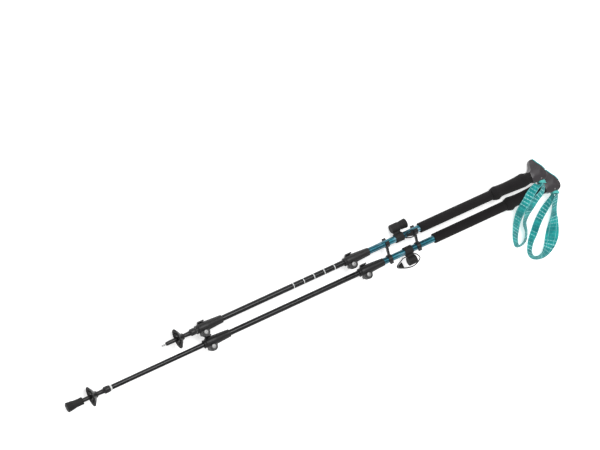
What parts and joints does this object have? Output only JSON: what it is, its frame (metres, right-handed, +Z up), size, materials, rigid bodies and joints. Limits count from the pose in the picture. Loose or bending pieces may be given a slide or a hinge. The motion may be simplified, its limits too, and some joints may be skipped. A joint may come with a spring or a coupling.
{
  "type": "trekking poles",
  "caption": "Telescopic trekking poles in three tube sections with lever clamps, foam grips, wrist straps, baskets and rubber tip caps, held side by side by twin clips.",
  "frame": {"origin": "bottom centre of the box round the pair as it lies on a flat surface, the loose elastic loops left out", "axes": "+X along the poles from tips to grips, +Z up from the surface, +Y towards pole A"},
  "size_m": [1.3544, 0.2682, 0.0553],
  "materials": {
    "blue_tube": "metallic petrol blue lacquer, glossy",
    "black_tube": "gloss black anodised",
    "head_plastic": "satin moulded",
    "inlay": "satin moulded insert",
    "foam": "closed-cell foam, fine grain",
    "webbing": "woven webbing with lighter woven dashes",
    "steel": "turned",
    "carbide": "ground carbide",
    "black_plastic": "glass-filled nylon, fine grain",
    "tip_rubber": "ribbed moulded rubber",
    "elastic": "braided elastic cord",
    "light_ring": "pale printed ring"
  },
  "bodies": {
    "pole_a_upper": {"pole_a_head": "head_plastic", "pole_a_head_inlay": "inlay", "pole_a_grip": "foam", "pole_a_grip_extension": "foam", "pole_a_strap": "webbing", "pole_a_strap_pin": "steel", "pole_a_upper_shaft": "blue_tube", "pole_a_upper_lock_body": "black_plastic", "pole_a_upper_lock_pivot": "steel", "twin_clip_1": "black_plastic", "twin_clip_2": "black_plastic"},
    "pole_a_wedge": {"pole_a_strap_wedge": "black_plastic"},
    "pole_a_upper_lever": {"pole_a_upper_lock_lever": "black_plastic"},
    "pole_a_upper_screw": {"pole_a_upper_lock_screw": "steel"},
    "pole_a_middle": {"pole_a_middle_shaft": "black_tube", "pole_a_middle_bush": "black_plastic", "pole_a_lower_lock_body": "black_plastic", "pole_a_lower_lock_pivot": "steel"},
    "pole_a_lower_lever": {"pole_a_lower_lock_lever": "black_plastic"},
    "pole_a_lower_screw": {"pole_a_lower_lock_screw": "steel"},
    "pole_a_lower": {"pole_a_lower_shaft": "black_tube", "pole_a_lower_bush": "black_plastic", "pole_a_depth_ring": "light_ring", "pole_a_ferrule": "black_plastic", "pole_a_carbide_tip": "carbide"},
    "pole_a_basket": {"pole_a_basket": "black_plastic"},
    "pole_a_holder": {"pole_a_cap_holder": "tip_rubber", "pole_a_elastic_loop": "elastic", "pole_a_loop_tab": "black_plastic"},
    "pole_a_tip_cap": {"pole_a_tip_cap": "tip_rubber"},
    "pole_b_upper": {"pole_b_head": "head_plastic", "pole_b_head_inlay": "inlay", "pole_b_grip": "foam", "pole_b_grip_extension": "foam", "pole_b_strap": "webbing", "pole_b_strap_pin": "steel", "pole_b_upper_shaft": "blue_tube", "pole_b_upper_lock_body": "black_plastic", "pole_b_upper_lock_pivot": "steel"},
    "pole_b_wedge": {"pole_b_strap_wedge": "black_plastic"},
    "pole_b_upper_lever": {"pole_b_upper_lock_lever": "black_plastic"},
    "pole_b_upper_screw": {"pole_b_upper_lock_screw": "steel"},
    "pole_b_middle": {"pole_b_middle_shaft": "black_tube", "pole_b_middle_bush": "black_plastic", "pole_b_lower_lock_body": "black_plastic", "pole_b_lower_lock_pivot": "steel"},
    "pole_b_lower_lever": {"pole_b_lower_lock_lever": "black_plastic"},
    "pole_b_lower_screw": {"pole_b_lower_lock_screw": "steel"},
    "pole_b_lower": {"pole_b_lower_shaft": "black_tube", "pole_b_lower_bush": "black_plastic", "pole_b_depth_ring": "light_ring", "pole_b_ferrule": "black_plastic", "pole_b_carbide_tip": "carbide"},
    "pole_b_basket": {"pole_b_basket": "black_plastic"},
    "pole_b_holder": {"pole_b_cap_holder": "tip_rubber", "pole_b_elastic_loop": "elastic", "pole_b_loop_tab": "black_plastic"},
    "pole_b_tip_cap": {"pole_b_tip_cap": "tip_rubber"}
  },
  "joints": [
    {"name": "pole_a_middle_slide", "type": "slide", "parent": "pole_a_upper", "child": "pole_a_middle", "axis": [-1, 0, 0], "range_m": [-0.3305, 0.07]},
    {"name": "pole_a_lower_slide", "type": "slide", "parent": "pole_a_middle", "child": "pole_a_lower", "axis": [-1, 0, 0], "range_m": [0, 0.218]},
    {"name": "pole_a_upper_lever_swing", "type": "hinge", "parent": "pole_a_upper", "child": "pole_a_upper_lever", "pos_m": [0.08772, 0.07966, 0.01709], "axis": [-1, 0, 0], "range_deg": [0, 120]},
    {"name": "pole_a_upper_screw_turn", "type": "hinge", "parent": "pole_a_upper", "child": "pole_a_upper_screw", "pos_m": [0.08772, 0.09083, 0.03811], "axis": [0, 0.4695, 0.8829], "continuous": true},
    {"name": "pole_a_lower_lever_swing", "type": "hinge", "parent": "pole_a_middle", "child": "pole_a_lower_lever", "pos_m": [-0.31278, 0.07966, 0.01709], "axis": [-1, 0, 0], "range_deg": [0, 120]},
    {"name": "pole_a_lower_screw_turn", "type": "hinge", "parent": "pole_a_middle", "child": "pole_a_lower_screw", "pos_m": [-0.31278, 0.09083, 0.03811], "axis": [0, 0.4695, 0.8829], "continuous": true},
    {"name": "pole_a_basket_turn", "type": "hinge", "parent": "pole_a_lower", "child": "pole_a_basket", "pos_m": [-0.37128, 0.09818, 0.02423], "axis": [1, 0, 0], "continuous": true},
    {"name": "pole_a_holder_slide", "type": "slide", "parent": "pole_a_upper", "child": "pole_a_holder", "axis": [1, 0, 0], "range_m": [-0.018, 0]},
    {"name": "pole_a_cap_slide", "type": "slide", "parent": "pole_a_holder", "child": "pole_a_tip_cap", "axis": [1, 0, 0], "range_m": [0, 0.03]},
    {"name": "pole_a_wedge_slide", "type": "slide", "parent": "pole_a_upper", "child": "pole_a_wedge", "axis": [0, -0.8829, 0.4695], "range_m": [0, 0.0015]},
    {"name": "pole_b_in_clips", "type": "slide", "parent": "pole_a_upper", "child": "pole_b_upper", "axis": [1, 0, 0], "range_m": [0, 0.006]},
    {"name": "pole_b_middle_slide", "type": "slide", "parent": "pole_b_upper", "child": "pole_b_middle", "axis": [-1, 0, 0], "range_m": [-0.279, 0.055]},
    {"name": "pole_b_lower_slide", "type": "slide", "parent": "pole_b_middle", "child": "pole_b_lower", "axis": [-1, 0, 0], "range_m": [-0.245, 0.05]},
    {"name": "pole_b_upper_lever_swing", "type": "hinge", "parent": "pole_b_upper", "child": "pole_b_upper_lever", "pos_m": [0.11922, 0.03666, 0.01709], "axis": [-1, 0, 0], "range_deg": [0, 120]},
    {"name": "pole_b_upper_screw_turn", "type": "hinge", "parent": "pole_b_upper", "child": "pole_b_upper_screw", "pos_m": [0.11922, 0.04783, 0.03811], "axis": [0, 0.4695, 0.8829], "continuous": true},
    {"name": "pole_b_lower_lever_swing", "type": "hinge", "parent": "pole_b_middle", "child": "pole_b_lower_lever", "pos_m": [-0.30378, 0.03666, 0.01709], "axis": [-1, 0, 0], "range_deg": [0, 120]},
    {"name": "pole_b_lower_screw_turn", "type": "hinge", "parent": "pole_b_middle", "child": "pole_b_lower_screw", "pos_m": [-0.30378, 0.04783, 0.03811], "axis": [0, 0.4695, 0.8829], "continuous": true},
    {"name": "pole_b_basket_turn", "type": "hinge", "parent": "pole_b_lower", "child": "pole_b_basket", "pos_m": [-0.60728, 0.05518, 0.02423], "axis": [1, 0, 0], "continuous": true},
    {"name": "pole_b_holder_slide", "type": "slide", "parent": "pole_b_upper", "child": "pole_b_holder", "axis": [1, 0, 0], "range_m": [-0.03, 0.006]},
    {"name": "pole_b_cap_slide", "type": "slide", "parent": "pole_b_lower", "child": "pole_b_tip_cap", "axis": [-1, 0, 0], "range_m": [0, 0.06]},
    {"name": "pole_b_wedge_slide", "type": "slide", "parent": "pole_b_upper", "child": "pole_b_wedge", "axis": [0, -0.8829, 0.4695], "range_m": [0, 0.0015]}
  ]
}
